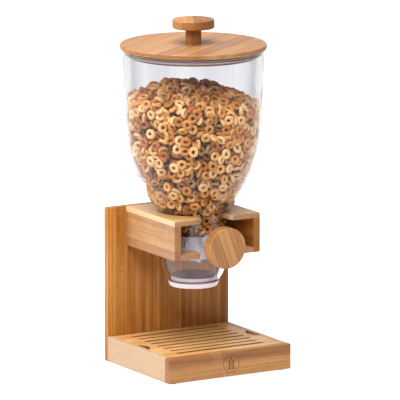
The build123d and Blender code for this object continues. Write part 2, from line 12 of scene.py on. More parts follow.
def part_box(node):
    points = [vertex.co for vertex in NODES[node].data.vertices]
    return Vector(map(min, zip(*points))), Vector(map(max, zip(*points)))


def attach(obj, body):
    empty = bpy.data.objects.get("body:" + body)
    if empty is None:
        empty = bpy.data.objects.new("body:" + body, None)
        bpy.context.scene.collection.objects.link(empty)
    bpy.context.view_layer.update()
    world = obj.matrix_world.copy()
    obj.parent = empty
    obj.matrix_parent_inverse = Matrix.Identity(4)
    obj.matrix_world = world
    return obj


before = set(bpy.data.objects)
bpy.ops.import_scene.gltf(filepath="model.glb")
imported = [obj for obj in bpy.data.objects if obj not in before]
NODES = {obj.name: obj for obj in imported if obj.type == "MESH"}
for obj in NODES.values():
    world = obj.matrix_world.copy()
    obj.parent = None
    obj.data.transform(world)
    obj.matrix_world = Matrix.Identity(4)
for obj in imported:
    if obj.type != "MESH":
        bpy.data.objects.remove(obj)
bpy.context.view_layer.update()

MM = 0.001
X = Vector((1, 0, 0))
Y = Vector((0, 1, 0))
Z = Vector((0, 0, 1))


def turned(axis_from, axis_to, degrees):
    """The direction that lies that far round from one axis towards another."""
    angle = math.radians(degrees)
    return axis_from * math.cos(angle) + axis_to * math.sin(angle)


# ---------------------------------------------------------------- shader building


class Shader:
    """A new material, and short calls that add nodes to it. A value may be a constant or another node's
    output."""

    def __init__(self, name):
        self.material = bpy.data.materials.new(name)
        self.material.use_nodes = True
        self.tree = self.material.node_tree
        self.tree.nodes.clear()
        self.output = self.tree.nodes.new("ShaderNodeOutputMaterial")

    def node(self, kind, inputs, **settings):
        """Adds a node, and sets or links its inputs by name or number."""
        made = self.tree.nodes.new("ShaderNode" + kind)
        for name, value in settings.items():
            setattr(made, name, value)
        for key, value in inputs.items():
            if isinstance(value, bpy.types.NodeSocket):
                self.tree.links.new(value, made.inputs[key])
            else:
                made.inputs[key].default_value = value
        return made

    def math(self, operation, *values, clamp=False):
        made = self.node("Math", dict(enumerate(values)), operation=operation, use_clamp=clamp)
        return made.outputs[0]

    def place(self):
        """The point on the surface, in the piece's own frame."""
        return self.node("TexCoord", {}).outputs["Object"]

    def along(self, vector, axis):
        """How far the vector reaches along the axis."""
        return self.node("VectorMath", {0: vector, 1: axis}, operation="DOT_PRODUCT").outputs["Value"]

    def vector(self, x, y, z):
        return self.node("CombineXYZ", {0: x, 1: y, 2: z}).outputs[0]

    def noise(self, vector, scale, detail=2.0, roughness=0.5):
        inputs = {"Vector": vector, "Scale": scale, "Detail": detail, "Roughness": roughness}
        return self.node("TexNoise", inputs).outputs[0]

    def chance(self, vector):
        """A value from 0 to 1 that is random for each different vector."""
        return self.node("TexWhiteNoise", {"Vector": vector}, noise_dimensions="3D").outputs["Value"]

    def fade(self, value, start, end, low=0.0, high=1.0):
        """low where value is below start, high above end, and a smooth step between."""
        inputs = {"Value": value, "From Min": start, "From Max": end, "To Min": low, "To Max": high}
        made = self.node("MapRange", inputs, interpolation_type="SMOOTHSTEP")
        return made.outputs["Result"]

    def sway(self, level, pattern, amount, clamp=False):
        """The level, moved up or down by how far the pattern is from its middle of 0.5."""
        swing = self.math("SUBTRACT", pattern, 0.5)
        return self.math("MULTIPLY_ADD", swing, amount, level, clamp=clamp)

    def mix(self, factor, a, b):
        """Colour a where the factor is 0, b where it is 1."""
        made = self.node("Mix", {0: factor, 6: a, 7: b}, data_type="RGBA", clamp_factor=True)
        return made.outputs[2]

    def ramp(self, value, *colours):
        """Colours spread evenly from value 0 to value 1."""
        made = self.node("ValToRGB", {"Fac": value})
        elements = made.color_ramp.elements
        while len(elements) < len(colours):
            elements.new(0.5)
        for index, colour in enumerate(colours):
            elements[index].position = index / (len(colours) - 1)
            elements[index].color = colour
        return made.outputs["Color"]

    def bump(self, height, strength, distance):
        inputs = {"Height": height, "Strength": strength, "Distance": distance}
        return self.node("Bump", inputs).outputs["Normal"]

    def finish(self, **inputs):
        """A Principled surface, with spaces in input names written as _."""
        named = {key.replace("_", " "): value for key, value in inputs.items()}
        surface = self.node("BsdfPrincipled", named).outputs[0]
        self.tree.links.new(surface, self.output.inputs["Surface"])
        return surface

    def finish_moulded(self, tint, roughness, ior, cloudy):
        """A moulded surface with a fine matt grain. cloudy is how much light spreads inside it."""
        grain = self.noise(self.place(), 2200.0, 2.0)
        rough = self.fade(grain, 0.3, 0.7, roughness - 0.06, roughness + 0.06)
        self.finish(Base_Color=tint, Roughness=rough, IOR=ior, Subsurface_Weight=cloudy,
                    Subsurface_Radius=(4.0 * MM, 3.5 * MM, 3.5 * MM), Subsurface_Scale=1.0,
                    Normal=self.bump(grain, 0.1, 0.08 * MM))


def colour(red, green, blue):
    """A screen colour from 0 to 255 as a linear one."""
    def linear(value):
        part = value / 255
        return part / 12.92 if part <= 0.04045 else ((part + 0.055) / 1.055) ** 2.4
    return (linear(red), linear(green), linear(blue), 1.0)


def cover(material, *names):
    """Gives the CAD nodes this material in every slot."""
    for name in names:
        mesh = NODES[name].data
        mesh.materials.clear()
        mesh.materials.append(material)


# ---------------------------------------------------------------- materials

BAMBOO_PALE = colour(208, 160, 102)
BAMBOO_MID = colour(178, 126, 70)
BAMBOO_DEEP = colour(144, 90, 42)
BAMBOO_DARK = colour(96, 54, 24)
BAMBOO_SHEEN = colour(198, 178, 150)
BAMBOO = (BAMBOO_DARK, BAMBOO_DEEP, BAMBOO_MID, BAMBOO_PALE)
BAMBOO_WARM = (BAMBOO_DARK, colour(154, 92, 32), colour(192, 130, 60), colour(216, 162, 96))
BAMBOO_EDGE_HIGHLIGHT = colour(240, 212, 168)
PLY_THICKNESS = 23.5 * MM
FIBRE_WANDER = 2.5 * MM
KNUCKLE_WOBBLE = 12 * MM
ROW_OFFSET = 50.37


def bamboo(name, grain, across, strip, tone=0.5, contrast=0.5, knuckles=0.9, painted_wall_shade=0.0, painted_sheen=0.0,
           gloss=0.5, strips=0.5, painted_half_shade=0.0, painted_edge_highlight=0.0, palette=BAMBOO, seed=0.0):
    """Pressed bamboo strips that run along grain and lie side by side along across.

    strip is the width of one strip, and knuckles the distance between the marks of the cane's joints.
    palette has colours from dark to pale, and tone is the place in it, from 0 to 1. contrast is how far
    the tone varies in all, strips how much of that is from strip to strip, and painted_half_shade how much
    paler the positive half along across is than the other, painted shade on the half turned from the light.
    painted_sheen is how far the piece is painted paler and greyer, a painted sheen. painted_edge_highlight
    is how far faces square to across are painted paler, a painted highlight, and painted_wall_shade how far
    faces that aren't level are painted darker, painted shade in the slots. gloss is the strength of the
    varnish. seed moves the strips and their tones."""
    s = Shader(name)
    place = s.place()
    u = s.along(place, grain)
    v = s.along(place, across)
    w = s.along(place, Vector(grain).cross(across))
    wander = s.noise(s.vector(u, v, w), 9.0, 1.0)
    wavy_v = s.math("MULTIPLY_ADD", wander, FIBRE_WANDER, v)

    def drawn_out(long_scale, cross_scale, start, detail, roughness=0.5):
        """Noise drawn out along the grain. The scales are in features per metre."""
        spot = s.vector(s.math("MULTIPLY_ADD", u, long_scale, start),
                        s.math("MULTIPLY", wavy_v, cross_scale), s.math("MULTIPLY", w, cross_scale))
        return s.noise(spot, 1.0, detail, roughness)

    row = s.math("ADD", s.math("DIVIDE", v, strip), seed + ROW_OFFSET)
    strip_number = s.math("FLOOR", row)
    in_strip = s.math("FRACT", row)
    ply = s.math("FLOOR", s.math("DIVIDE", w, PLY_THICKNESS))
    strip_tone = s.chance(s.vector(strip_number, ply, seed))
    strip_phase = s.chance(s.vector(ply, strip_number, seed + 7.3))
    shift = s.math("MULTIPLY", strip_phase, 3.0)

    fibre = drawn_out(9.0, 620.0, shift, 3.0, 0.65)
    streak = drawn_out(5.0, 210.0, shift, 2.0)
    cloud = drawn_out(11.0, 60.0, shift, 1.0)
    dashes = drawn_out(60.0, 1500.0, 0.0, 1.0)

    level = s.sway(tone, strip_tone, contrast * strips)
    level = s.sway(level, fibre, contrast * 0.8)
    level = s.sway(level, streak, contrast * 0.8)
    level = s.sway(level, cloud, contrast * 0.5, clamp=True)
    # One half along across is lifted paler and the other dropped darker: painted shade on the half turned
    # from the light.
    if painted_half_shade:
        step = s.fade(v, -0.4 * MM, 0.4 * MM, -painted_half_shade / 2, painted_half_shade / 2)
        level = s.math("ADD", level, step, clamp=True)
    base = s.ramp(level, *palette)
    # A whitish, greyer blend over the whole piece: a painted sheen.
    base = s.mix(painted_sheen, base, BAMBOO_SHEEN)
    base = s.mix(s.fade(dashes, 0.62, 0.72, 0.0, 0.45), base, BAMBOO_DARK)

    # Each joint of the cane is a thin dark line in a pale halo.
    turn = s.math("FRACT", s.math("MULTIPLY_ADD", u, 1 / knuckles, strip_phase))
    wobble = s.sway(0.0, streak, KNUCKLE_WOBBLE)
    from_knuckle = s.math("ABSOLUTE", s.sway(wobble, turn, knuckles))
    line = s.fade(from_knuckle, 0.5 * MM, 1.8 * MM, 0.28, 0.0)
    halo = s.fade(from_knuckle, 2 * MM, 9 * MM, 0.15, 0.0)
    base = s.mix(halo, base, BAMBOO_PALE)
    base = s.mix(line, base, BAMBOO_DARK)

    # A dark seam shows where two strips meet.
    edge = s.math("MULTIPLY", s.math("MINIMUM", in_strip, s.math("SUBTRACT", 1.0, in_strip)), strip)
    seam = s.fade(edge, 0.1 * MM, 0.5 * MM, 0.3, 0.0)
    base = s.mix(seam, base, BAMBOO_DARK)

    # The ends of the strips are darker and show the pores.
    facing = s.node("TexCoord", {}).outputs["Normal"]
    end_on = s.fade(s.math("ABSOLUTE", s.along(facing, grain)), 0.75, 0.9)
    pores = s.node("TexVoronoi", {"Vector": place, "Scale": 900.0}).outputs["Distance"]
    end_colour = s.mix(s.fade(pores, 0.25, 0.55), BAMBOO_DARK, base)
    end_colour = s.mix(0.6, end_colour, BAMBOO_DEEP)
    base = s.mix(end_on, base, end_colour)
    # Faces square to across are lifted towards a pale cream: a painted highlight on those edges.
    if painted_edge_highlight:
        side_on = s.math("ABSOLUTE", s.along(facing, across))
        base = s.mix(s.fade(side_on, 0.5, 0.8, 0.0, painted_edge_highlight), base, BAMBOO_EDGE_HIGHLIGHT)
    # Faces that aren't level, such as the walls of the grate's slots, are darkened: painted shade.
    if painted_wall_shade:
        level_face = s.math("ABSOLUTE", s.along(facing, Z))
        base = s.mix(s.fade(level_face, 0.3, 0.7, painted_wall_shade, 0.0), base, BAMBOO_DARK)

    relief = s.math("SUBTRACT", s.math("MULTIPLY", fibre, 0.5), seam)
    relief = s.math("SUBTRACT", relief, line)
    s.finish(Base_Color=base, Roughness=s.fade(fibre, 0.3, 0.7, 0.46, 0.36), IOR=1.5,
             Specular_IOR_Level=gloss, Coat_Weight=0.2 * gloss, Coat_Roughness=0.25,
             Normal=s.bump(relief, 0.35, 0.2 * MM))
    return s.material


def clear_plastic(name, shine):
    """Clear moulded plastic, with the slight waves of a moulded wall and faint grey streaks of painted
    reflection. Shadow rays and diffuse rays pass straight through it. shine scales its reflections, and is
    1 for a bare wall."""
    s = Shader(name)
    place = s.place()
    waves = s.noise(place, 38.0, 1.0)
    stretched = s.node("VectorMath", {0: place, 1: (42.0, 42.0, 1.2)}, operation="MULTIPLY").outputs[0]
    # Faint grey streaks up the wall: painted reflection.
    painted_reflection_streaks = s.fade(s.noise(stretched, 1.0, 2.0), 0.35, 0.65)
    tint = s.mix(painted_reflection_streaks, colour(242, 242, 246), colour(251, 251, 252))
    # A painted shade: the wall is greyer in a band where it turns away from the view, and clear again
    # beyond that.
    slant = s.node("LayerWeight", {"Blend": 0.5}).outputs["Facing"]
    tint = s.mix(s.fade(slant, 0.3, 0.52), tint, colour(214, 213, 218))
    tint = s.mix(s.fade(slant, 0.54, 0.62), tint, colour(250, 250, 251))
    glass = s.finish(Base_Color=tint, Roughness=0.02, IOR=1.42, Transmission_Weight=1.0,
                     Specular_Tint=(shine, shine, shine, 1), Normal=s.bump(waves, 0.12, 2 * MM))
    path = s.node("LightPath", {})
    passing = s.math("MAXIMUM", path.outputs["Is Shadow Ray"], path.outputs["Is Diffuse Ray"])
    through = s.node("BsdfTransparent", {"Color": colour(244, 244, 246)}).outputs[0]
    mixed = s.node("MixShader", {0: passing, 1: glass, 2: through}).outputs[0]
    s.tree.links.new(mixed, s.output.inputs["Surface"])
    return s.material


MOTTLE_SCALE = 90.0
PLASTIC_IOR = 1.45
SILICONE_IOR = 1.42
CAP_FLANGE_HEIGHT = 6.0 * MM


def frosted_plastic():
    """Milky plastic that lets some light through, with a fine matt grain."""
    s = Shader("frosted_plastic")
    grain = s.noise(s.place(), 1400.0, 2.0)
    tint = s.mix(s.noise(s.place(), 60.0), colour(222, 216, 230), colour(242, 238, 248))
    s.finish(Base_Color=tint, Roughness=s.fade(grain, 0.3, 0.7, 0.38, 0.55), IOR=1.49,
             Transmission_Weight=0.3, Normal=s.bump(grain, 0.15, 0.1 * MM))
    return s.material


def soft_plastic(name, low, high, roughness, cloudy=0.0):
    """A moulded plastic or rubber whose colour moves a little between two tones."""
    s = Shader(name)
    tint = s.mix(s.noise(s.place(), MOTTLE_SCALE, 3.0), low, high)
    s.finish_moulded(tint, roughness, PLASTIC_IOR, cloudy)
    return s.material


def cap_silicone():
    """Milky silicone: the thick rim is whiter than the thin top, which is painted darker as painted shade,
    and a grey line of painted shade runs round where the top of the flange meets the spout."""
    s = Shader("silicone_cap")
    place = s.place()
    height = s.along(place, Z)
    low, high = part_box("outlet_cap")
    flange_top_z = low.z + CAP_FLANGE_HEIGHT
    # The thin top is painted darker: painted shade.
    thin = s.fade(height, high.z - 1.0 * MM, high.z - 0.3 * MM)
    above_flange = s.fade(height, flange_top_z - 0.2 * MM, flange_top_z)
    under_lip = s.fade(height, flange_top_z + 1.8 * MM, flange_top_z + 2.8 * MM, 1.0, 0.0)
    # A grey line where the top of the flange meets the spout: painted shade.
    gap = s.math("MULTIPLY", above_flange, under_lip)
    mottle = s.noise(place, MOTTLE_SCALE, 3.0)
    rim = s.mix(mottle, colour(226, 220, 228), colour(240, 236, 242))
    painted_top_shade = s.mix(mottle, colour(138, 122, 130), colour(158, 144, 152))
    rim = s.mix(gap, rim, colour(148, 128, 134))
    s.finish_moulded(s.mix(thin, rim, painted_top_shade), 0.42, SILICONE_IOR, 0.3)
    return s.material


def seal_silicone():
    """Milky silicone, its tone partly its own and partly painted shade under the lid, with a painted shade
    line in the groove between its ribs and a painted shadow at its top under the lid.
    """
    s = Shader("silicone_seal")
    place = s.place()
    height = s.along(place, Z)
    low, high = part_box("lid_seal")
    from_groove = s.math("ABSOLUTE", s.math("SUBTRACT", height, (low.z + high.z) / 2))
    # A dark line in the groove between the ribs: painted shade.
    groove = s.fade(from_groove, 0.3 * MM, 0.8 * MM, 0.75, 0.0)
    # A dark band at the top under the lid: a painted shadow.
    painted_lid_shadow = s.fade(height, high.z - 1.0 * MM, high.z - 0.3 * MM, 0.0, 0.8)
    # The seal's tones are partly its own colour and partly painted shade under the lid.
    tint = s.mix(s.noise(place, MOTTLE_SCALE, 3.0), colour(172, 152, 146), colour(198, 180, 174))
    tint = s.mix(s.math("MAXIMUM", groove, painted_lid_shadow), tint, colour(84, 60, 54))
    s.finish_moulded(tint, 0.4, SILICONE_IOR, 0.15)
    return s.material


def metal(name, low, high, roughness):
    """Turned metal: fine lines square to Y, which the shaft lies along, and smudges."""
    s = Shader(name)
    place = s.place()
    smudge = s.noise(place, 300.0, 3.0)
    squeezed = s.node("VectorMath", {0: place, 1: (400.0, 9000.0, 400.0)}, operation="MULTIPLY").outputs[0]
    lines = s.noise(squeezed, 1.0, 2.0)
    s.finish(Base_Color=s.mix(smudge, low, high), Metallic=1.0,
             Roughness=s.fade(smudge, 0.3, 0.7, roughness - 0.07, roughness + 0.09),
             Normal=s.bump(lines, 0.12, 0.06 * MM))
    return s.material


def toasted_cereal(name, light):
    """Toasted oat rings: each ring its own tone, darker blisters, and a dry pitted skin. light is below 1
    for rings so deep in the fill that little light reaches them."""
    s = Shader(name)
    place = s.place()
    each = s.node("NewGeometry", {}).outputs["Random Per Island"]
    toast = s.noise(place, 260.0, 3.0, 0.6)
    pits = s.noise(place, 1700.0, 3.0, 0.7)
    level = s.sway(each, toast, 0.9, clamp=True)
    toasts = (colour(168, 96, 42), colour(214, 144, 70), colour(236, 178, 104), colour(246, 204, 146))
    base = s.ramp(level, *toasts)
    base = s.mix(s.fade(pits, 0.32, 0.5, 0.5, 0.0), base, colour(122, 66, 28))
    base = s.mix(1 - light, base, colour(52, 26, 10))
    s.finish(Base_Color=base, Roughness=0.62, IOR=1.4, Specular_IOR_Level=0.2,
             Normal=s.bump(pits, 0.5, 0.5 * MM))
    return s.material


def cereal_shadow():
    """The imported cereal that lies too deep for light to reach."""
    s = Shader("cereal_shadow")
    crumbs = s.noise(s.place(), 320.0, 3.0)
    s.finish(Base_Color=s.mix(crumbs, colour(64, 32, 12), colour(112, 62, 26)), Roughness=0.9,
             Normal=s.bump(crumbs, 0.6, 2 * MM))
    return s.material


def scorched_mark():
    """Wood browned by a hot stamp, with the grain still showing."""
    s = Shader("scorched_mark")
    place = s.node("VectorMath", {0: s.place(), 1: (20.0, 700.0, 700.0)}, operation="MULTIPLY").outputs[0]
    grain = s.noise(place, 1.0, 3.0)
    s.finish(Base_Color=s.mix(grain, colour(66, 38, 22), colour(104, 66, 38)), Roughness=0.7,
             Normal=s.bump(grain, 0.3, 0.1 * MM))
    return s.material


FLOOR_GLOW_SEEN = 0.9
FLOOR_GLOW_GIVEN = 0.31


def studio_floor():
    """A pale matt floor with a faint paper grain. It glows more towards the camera than it does on the
    object, so that it stays white without washing the object out."""
    s = Shader("studio_floor")
    grain = s.noise(s.place(), 400.0, 2.0)
    seen = s.node("LightPath", {}).outputs["Is Camera Ray"]
    glow = s.math("MULTIPLY_ADD", seen, FLOOR_GLOW_SEEN - FLOOR_GLOW_GIVEN, FLOOR_GLOW_GIVEN)
    s.finish(Base_Color=s.mix(grain, (0.56, 0.56, 0.56, 1), (0.6, 0.6, 0.6, 1)), Roughness=0.9,
             Specular_IOR_Level=0.1, Emission_Color=(1, 1, 1, 1), Emission_Strength=glow)
    return s.material


LID_GRAIN = turned(X, Y, 35)
LID_ACROSS = turned(Y, -X, 35)
KNOB_GRAIN = turned(X, Y, 62)
KNOB_ACROSS = turned(Y, -X, 62)
DIAL_GRAIN = turned(-Z, X, 21)
DIAL_ACROSS = turned(X, Z, 21)

cover(bamboo("bamboo_board", Z, X, 5.2 * MM, tone=0.49, contrast=0.6, gloss=0.2, palette=BAMBOO_WARM,
             seed=1.0),
      "back_board")
cover(bamboo("bamboo_front_rail", X, Z, 34 * MM, tone=0.47, contrast=0.6, knuckles=0.14, gloss=0.4,
             seed=0.03),
      "base_front_rail")
# The side rails are blended half way to a pale grey: a painted sheen.
cover(bamboo("bamboo_side_rails", Y, Z, 34 * MM, tone=0.56, contrast=0.35, painted_sheen=0.5, seed=0.53),
      "base_left_rail", "base_right_rail")
cover(bamboo("bamboo_base_inside", X, Y, 20 * MM, tone=0.45, contrast=0.4, seed=3.0),
      "base_rear_rail", "base_floor", "grate_ledges")
# The walls of the grate's slots are darkened: painted shade.
cover(bamboo("bamboo_grate", X, Y, 15.5 * MM, tone=0.86, contrast=0.5, painted_wall_shade=0.45, gloss=0.7, seed=0.4),
      "slatted_grate")
cover(bamboo("bamboo_holder_left", Y, Z, 12.5 * MM, tone=0.52, contrast=0.6, knuckles=0.16, painted_sheen=0.15,
             seed=5.0),
      "holder_left_panel")
# The right panel takes a darker, warmer copy of the left panel's bamboo: painted shade inside the holder.
cover(bamboo("bamboo_holder_right_shaded", Y, Z, 12.5 * MM, tone=0.34, contrast=0.5, knuckles=0.16, gloss=0.2,
             palette=BAMBOO_WARM, seed=5.4),
      "holder_right_panel")
# The edges of the top and bottom panels that face across are painted paler: a painted highlight.
cover(bamboo("bamboo_holder_panels", Y, X, 19 * MM, tone=0.8, contrast=0.4, painted_sheen=0.12, gloss=0.9,
             painted_edge_highlight=0.35, seed=6.0),
      "holder_top_panel", "holder_bottom_panel")
cover(bamboo("bamboo_lid", LID_GRAIN, LID_ACROSS, 19 * MM, tone=0.47, contrast=0.75, painted_sheen=0.1,
             gloss=0.3, seed=0.2),
      "lid_disc")
# The plug under the lid takes a darker copy of the lid's bamboo: painted shade under the lid's rim.
cover(bamboo("bamboo_plug_shaded", LID_GRAIN, LID_ACROSS, 19 * MM, tone=0.2, contrast=0.5, gloss=0.2, seed=0.7),
      "lid_plug")
# The half of the knob that faces away from the left lamp is painted darker: painted shade.
cover(bamboo("bamboo_knob", KNOB_GRAIN, KNOB_ACROSS, 27 * MM, tone=0.4, contrast=0.6, strips=0.1,
             painted_half_shade=0.36, gloss=0.25, seed=0.63),
      "lid_knob_head")
cover(bamboo("bamboo_stem", Z, X, 11 * MM, tone=0.42, contrast=0.5, gloss=0.35, seed=2.0), "lid_knob_stem")
cover(bamboo("bamboo_dial", DIAL_GRAIN, DIAL_ACROSS, 6.8 * MM, tone=0.51, contrast=0.65, painted_sheen=0.05,
             gloss=0.35, seed=4.0),
      "dial_knob")

cover(clear_plastic("clear_hopper", 0.35), "hopper")
cover(clear_plastic("clear_housing", 0.9), "valve_housing")
cover(frosted_plastic(), "funnel_liner")
cover(soft_plastic("white_plastic", colour(226, 224, 228), colour(240, 239, 242), 0.35),
      "front_bush", "rear_bush", "paddle_hub", "dial_collar")
cover(soft_plastic("silicone_vanes", colour(214, 208, 216), colour(230, 226, 232), 0.5, cloudy=0.3),
      "paddle_vanes")
cover(cap_silicone(), "outlet_cap")
cover(seal_silicone(), "lid_seal")
cover(soft_plastic("rubber_feet", colour(60, 58, 58), colour(84, 82, 82), 0.75), "foot_pads")
cover(metal("steel", colour(176, 178, 182), colour(214, 216, 220), 0.3),
      "drive_shaft", "holder_screws", "base_screws", "lid_screw")
cover(metal("brass", colour(186, 148, 78), colour(222, 186, 112), 0.28), "dial_insert")

# ---------------------------------------------------------------- the cereal in the hopper

RING_RADIUS = 4.2 * MM
TUBE_RADIUS = 2.15 * MM
RING_REACH = RING_RADIUS + TUBE_RADIUS
RING_SIDES = 16
TUBE_SIDES = 8
RING_UNEVENNESS = 0.05
RING_FLATNESS = 0.95
HOLE_PLUG_RADIUS = 2.1 * MM
BALLS_ROUND = 6

# The room in the fill for each ring is in cubic metres. Only the outer shell of the fill has rings, and
# those deeper than DEEP get the darker look.
SPACE_PER_RING = 0.7e-6
SPOTS_TRIED = 60000
FACING_SHARE = 0.5
FACING_SPREAD = 0.45
SHELL_DEPTH = 18 * MM
DEEP = 9 * MM
FILL_CENTRE_Z = 358 * MM
FILL_DROP = 25 * MM
FILL_TILT = 6 * MM
FILL_LUMPS = 1.6 * MM
LOW_SIDE = (0.86, -0.51)
STRAY_RISE = 3.5 * MM
SETTLE_STEPS = 110
PAIRS_EVERY = 5
PAIR_MARGIN = 1.15
PROFILE_STEPS = 120
LAYERS = 3

# The vanes' number and turn are those of the CAD wheel at rest, with the turn in degrees.
VANES = 8
VANE_TURN = 12.7
VANE_HALF_THICKNESS = 0.8 * MM
HALF_GAP = math.pi / VANES
WHEEL_ROOM = 1.2 * MM
WHEEL_RIM_ROOM = 0.4 * MM
WHEEL_ROWS = 5
WHEEL_ROW_END = 20 * MM
WHEEL_RING_REACHES = (14 * MM, 22 * MM)

CORE_SIDES = 72
CORE_STEPS = 60
CORE_FLOOR = 9 * MM
CORE_LUMPS = 1.5

FILL_SEED = 20
WHEEL_SEED = 21
CORE_SEED = 22
RING_SHAPE_SEED = 30
DEEP_SHAPE_SEED = 34
WHEEL_SHAPE_SEED = 50

# The least length that something is divided by, and the least distance from the hopper's axis.
TINY = 1e-9
NEAR_AXIS = 1e-4

axle_z = (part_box("paddle_hub")[0].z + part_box("paddle_hub")[1].z) / 2
vane_radius = (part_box("paddle_vanes")[1].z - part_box("paddle_vanes")[0].z) / 2
vane_half_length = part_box("paddle_vanes")[1].y
bush_radius = (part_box("front_bush")[1].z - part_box("front_bush")[0].z) / 2
liner_top_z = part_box("funnel_liner")[1].z
hopper_low, hopper_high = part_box("hopper")


def inner_profile(name, low_z, high_z):
    """Heights and the radius of a CAD shell's inner wall at each, found by rays from its axis. They go
    towards the back, where the wall has no ribs."""
    mesh = NODES[name].data
    tree = BVHTree.FromPolygons([v.co for v in mesh.vertices], [p.vertices for p in mesh.polygons])
    heights = np.linspace(low_z, high_z, PROFILE_STEPS)
    radii = [tree.ray_cast(Vector((0, 0, z)), turned(X, Y, 100))[3] for z in heights]
    return heights, np.array(radii)


# The rays stay off both ends of the wall.
wall_heights, wall_radii = inner_profile("hopper", hopper_low.z + 0.5 * MM, hopper_high.z - 8 * MM)


def wall_radius(z):
    """The clear radius at height z. Below the hopper it is that of the neck's end."""
    return np.interp(z, wall_heights, wall_radii)


def fill_height(x, y):
    """The top of the heap: high in the middle, a little lower to one side, and lumpy."""
    share = (x * x + y * y) / wall_radii[-1] ** 2
    tilt = (LOW_SIDE[0] * x + LOW_SIDE[1] * y) / wall_radii[-1]
    lumps = np.sin(x * 430 + 1) * np.sin(y * 390 + 2) + np.sin(x * 170) * np.cos(y * 210)
    return FILL_CENTRE_Z - FILL_DROP * share - FILL_TILT * tilt + FILL_LUMPS * lumps


def push_inside(rise):
    """A function that keeps balls inside the hopper, in the shell that shows, and clear of the paddle
    wheel. Each ring may stand its own rise above the heap."""
    def push(points, radius):
        x, y, z = points[..., 0], points[..., 1], points[..., 2]
        z[:] = np.clip(z, liner_top_z + radius, fill_height(x, y) + rise[:, None] - radius)
        away = np.hypot(x, y)
        room = wall_radius(z) - radius
        scale = np.where(away > room, room / np.maximum(away, TINY), 1.0)
        x *= scale
        y *= scale
        core = wall_radius(z) - SHELL_DEPTH
        in_core = (z < fill_height(x, y) - SHELL_DEPTH) & (np.hypot(x, y) < core) & (core > RING_REACH)
        grow = np.where(in_core, core / np.maximum(np.hypot(x, y), NEAR_AXIS), 1.0)
        x *= grow
        y *= grow
        over = z - axle_z
        reach = np.hypot(x, over)
        clear = vane_radius + WHEEL_ROOM + radius
        end_clear = vane_half_length + WHEEL_ROOM + radius
        beyond = np.abs(y) > end_clear
        near_end = ~beyond & (reach < clear) & (end_clear - np.abs(y) < clear - reach)
        y[:] = np.where(near_end, np.sign(y) * end_clear, y)
        keep_off = np.where(beyond | near_end, bush_radius + radius, clear)
        lift = np.where(reach < keep_off, keep_off / np.maximum(reach, TINY), 1.0)
        x *= lift
        z[:] = axle_z + over * lift

    return push


def push_in_wheel(sectors):
    """A function that keeps balls inside their own gap between two vanes of the wheel. sectors has the
    direction of each ring's gap."""
    hub_radius = (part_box("paddle_hub")[1].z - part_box("paddle_hub")[0].z) / 2

    def push(points, radius):
        x, y, z = points[..., 0], points[..., 1], points[..., 2] - axle_z
        y[:] = np.clip(y, radius - vane_half_length, vane_half_length - radius)
        middle = sectors[:, None]
        out = x * np.cos(middle) + z * np.sin(middle)
        side = -x * np.sin(middle) + z * np.cos(middle)
        out = np.clip(out, hub_radius + radius, None)
        reach = np.hypot(out, side)
        room = vane_radius - WHEEL_RIM_ROOM - radius
        shrink = np.where(reach > room, room / np.maximum(reach, TINY), 1.0)
        out *= shrink
        side *= shrink
        limit = out * math.tan(HALF_GAP) - (radius + VANE_HALF_THICKNESS) / math.cos(HALF_GAP)
        side = np.clip(side, -np.maximum(limit, 0), np.maximum(limit, 0))
        x[:] = out * np.cos(middle) - side * np.sin(middle)
        points[..., 2] = out * np.sin(middle) + side * np.cos(middle) + axle_z

    return push


def near_pairs(centres):
    """Index pairs of rings that may touch, from a grid of ring-sized cells."""
    cell = 2 * RING_REACH * PAIR_MARGIN
    cells = {}
    keys = np.floor(centres / cell).astype(int)
    for index, key in enumerate(map(tuple, keys)):
        cells.setdefault(key, []).append(index)
    steps = [(i, j, k) for i in (-1, 0, 1) for j in (-1, 0, 1) for k in (-1, 0, 1)]
    firsts, seconds = [], []
    for (i, j, k), members in cells.items():
        around = [n for a, b, c in steps for n in cells.get((i + a, j + b, k + c), ())]
        near = np.array(around)
        for index in members:
            close = near[near > index]
            apart = np.linalg.norm(centres[close] - centres[index], axis=1)
            close = close[apart < cell]
            firsts.append(np.full(len(close), index))
            seconds.append(close)
    return np.concatenate(firsts), np.concatenate(seconds)


def ball_template():
    """A ring as balls round its tube and one that plugs its hole, so that rings can't link."""
    angles = np.arange(BALLS_ROUND) * 2 * math.pi / BALLS_ROUND
    ring = np.stack([np.cos(angles), np.sin(angles), np.zeros(BALLS_ROUND)], 1) * RING_RADIUS
    return np.vstack([ring, np.zeros(3)]), np.array([TUBE_RADIUS] * BALLS_ROUND + [HOLE_PLUG_RADIUS])


def push_apart(points, radii, firsts, seconds):
    """Moves overlapping balls of two rings apart by half their overlap each."""
    gap = points[firsts][:, :, None, :] - points[seconds][:, None, :, :]
    distance = np.linalg.norm(gap, axis=-1)
    overlap = np.maximum(radii[:, None] + radii[None, :] - distance, 0)
    move = gap * (0.5 * overlap / np.maximum(distance, TINY))[..., None]
    np.add.at(points, firsts, move.sum(2))
    np.add.at(points, seconds, -move.sum(1))


def rigid_again(points, template):
    """The nearest rigid ring to each ring's moved balls: rotations, centres and new balls."""
    centres = points.mean(1)
    spread = np.einsum("nka,kb->nab", points - centres[:, None], template)
    left, _, right = np.linalg.svd(spread)
    left[..., 2] *= np.sign(np.linalg.det(left @ right))[:, None]
    turns = left @ right
    return turns, centres, centres[:, None] + np.einsum("nab,kb->nka", turns, template)


